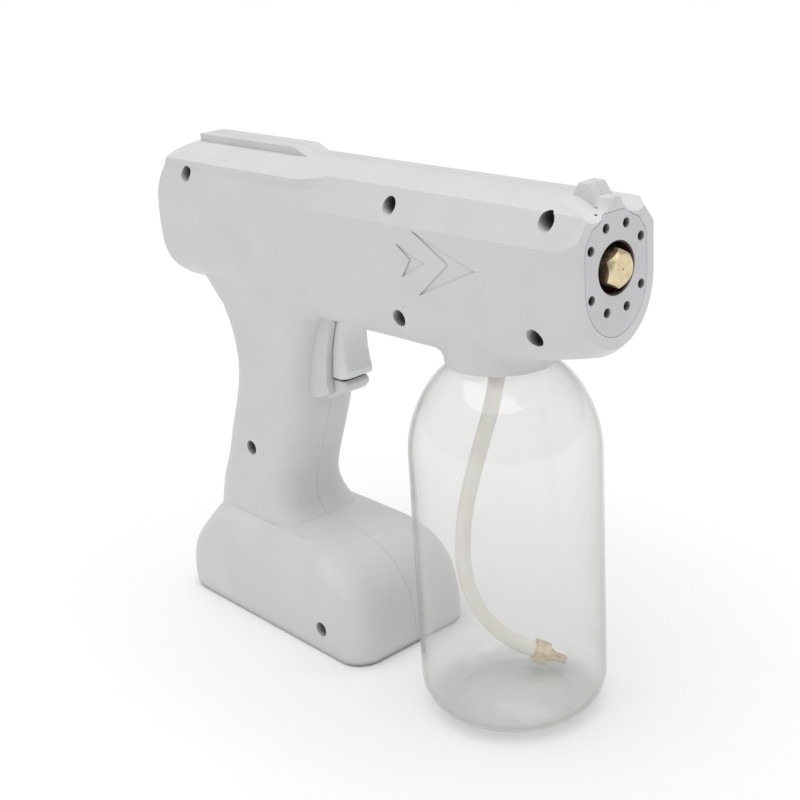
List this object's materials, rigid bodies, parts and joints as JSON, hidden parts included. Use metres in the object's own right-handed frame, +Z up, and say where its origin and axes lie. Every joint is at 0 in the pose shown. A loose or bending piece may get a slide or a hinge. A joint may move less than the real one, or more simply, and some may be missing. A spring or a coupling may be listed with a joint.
{
  "type": "electrostatic disinfectant sprayer",
  "caption": "Cordless pistol-grip disinfectant sprayer with a brass nozzle in a light ring and a clear screw-on bottle under the barrel.",
  "frame": {"origin": "on the floor, under the middle of the gun's bounding box", "axes": "+X is where it sprays, +Z is up, the housing halves part at y = 0"},
  "size_m": [0.2744, 0.082, 0.2393],
  "materials": {
    "shell": "fine moulded texture",
    "front_plate": "fine moulded texture",
    "screw_steel": "zinc plated",
    "brass": "machined",
    "dark_insulator": "glossy",
    "inner_plastic": "moulded",
    "seal_rubber": "matt",
    "electrode_steel": "bright",
    "potting": "potted",
    "circuit_board": "solder mask",
    "led_lens": "clear tinted",
    "motor_steel": "zinc plated",
    "magnet": "ferrite",
    "acetal": "machined acetal",
    "ground_steel": "ground",
    "silicone": "translucent silicone",
    "clear_pet": "clear blown PET",
    "trigger_plastic": "fine moulded texture",
    "spring_steel": "bright wire",
    "black_plastic": "moulded",
    "cell_wrap": "shrink wrap",
    "nickel": "nickel",
    "wire_jacket": "PVC",
    "holder_plastic": "moulded"
  },
  "bodies": {
    "housing": {"housing_right": "shell", "housing_left": "shell", "housing_screws": "screw_steel", "front_plate": "front_plate", "nozzle": "brass", "nozzle_holder": "inner_plastic", "nozzle_seal": "seal_rubber", "nozzle_shroud": "dark_insulator", "charge_electrode": "electrode_steel", "high_voltage_module": "potting", "led_board": "circuit_board", "leds": "led_lens", "motor_can": "motor_steel", "motor_magnets": "magnet", "motor_end_cap": "black_plastic", "pump_body": "acetal", "pump_cover": "acetal", "pump_screws": "screw_steel", "pump_shaft_seal": "seal_rubber", "idler_pin": "ground_steel", "pump_inlet_hose": "silicone", "pump_outlet_hose": "silicone", "bottle_socket": "inner_plastic", "vent_valve": "seal_rubber", "suction_hose": "silicone", "suction_fitting": "brass", "trigger_switch": "black_plastic", "trigger_spring": "spring_steel", "power_switch": "black_plastic", "charge_socket": "black_plastic", "control_board": "circuit_board", "battery_holder": "holder_plastic", "battery_cells": "cell_wrap", "battery_strips": "nickel", "wiring": "wire_jacket"},
    "trigger_body": {"trigger": "trigger_plastic", "switch_plunger": "black_plastic"},
    "pump_rotor": {"motor_rotor": "ground_steel", "drive_gear": "ground_steel"},
    "idler": {"idler_gear": "ground_steel"},
    "seal_body": {"bottle_seal": "seal_rubber"},
    "bottle_body": {"bottle": "clear_pet"},
    "button_body": {"power_button": "trigger_plastic"}
  },
  "joints": [
    {"name": "trigger_slide", "type": "slide", "parent": "housing", "child": "trigger_body", "axis": [-1, 0, 0], "range_m": [0, 0.006], "stiffness_N_per_m": 600, "springref_m": -0.004, "deforming": ["trigger_spring"]},
    {"name": "button_press", "type": "slide", "parent": "housing", "child": "button_body", "axis": [1, 0, 0], "range_m": [0, 0.0012], "stiffness_N_per_m": 1500, "springref_m": -0.0006},
    {"name": "rotor_spin", "type": "hinge", "parent": "housing", "child": "pump_rotor", "pos_m": [0.0298, 0, 0.204], "axis": [1, 0, 0], "continuous": true},
    {"name": "idler_spin", "type": "hinge", "parent": "housing", "child": "idler", "pos_m": [0.0298, 0, 0.196], "axis": [1, 0, 0], "continuous": true},
    {"name": "bottle_drop", "type": "slide", "parent": "housing", "child": "seal_body", "axis": [0, 0, -1], "range_m": [0, 0.00375]},
    {"name": "bottle_turn", "type": "hinge", "parent": "seal_body", "child": "bottle_body", "pos_m": [0.073, 0, 0.1], "axis": [0, 0, 1], "range_deg": [0, 450]}
  ],
  "couplings": [
    {"joint": "idler_spin", "follows": "rotor_spin", "ratio": -1},
    {"joint": "bottle_drop", "follows": "bottle_turn", "m_per_rad": 0.00047746}
  ]
}
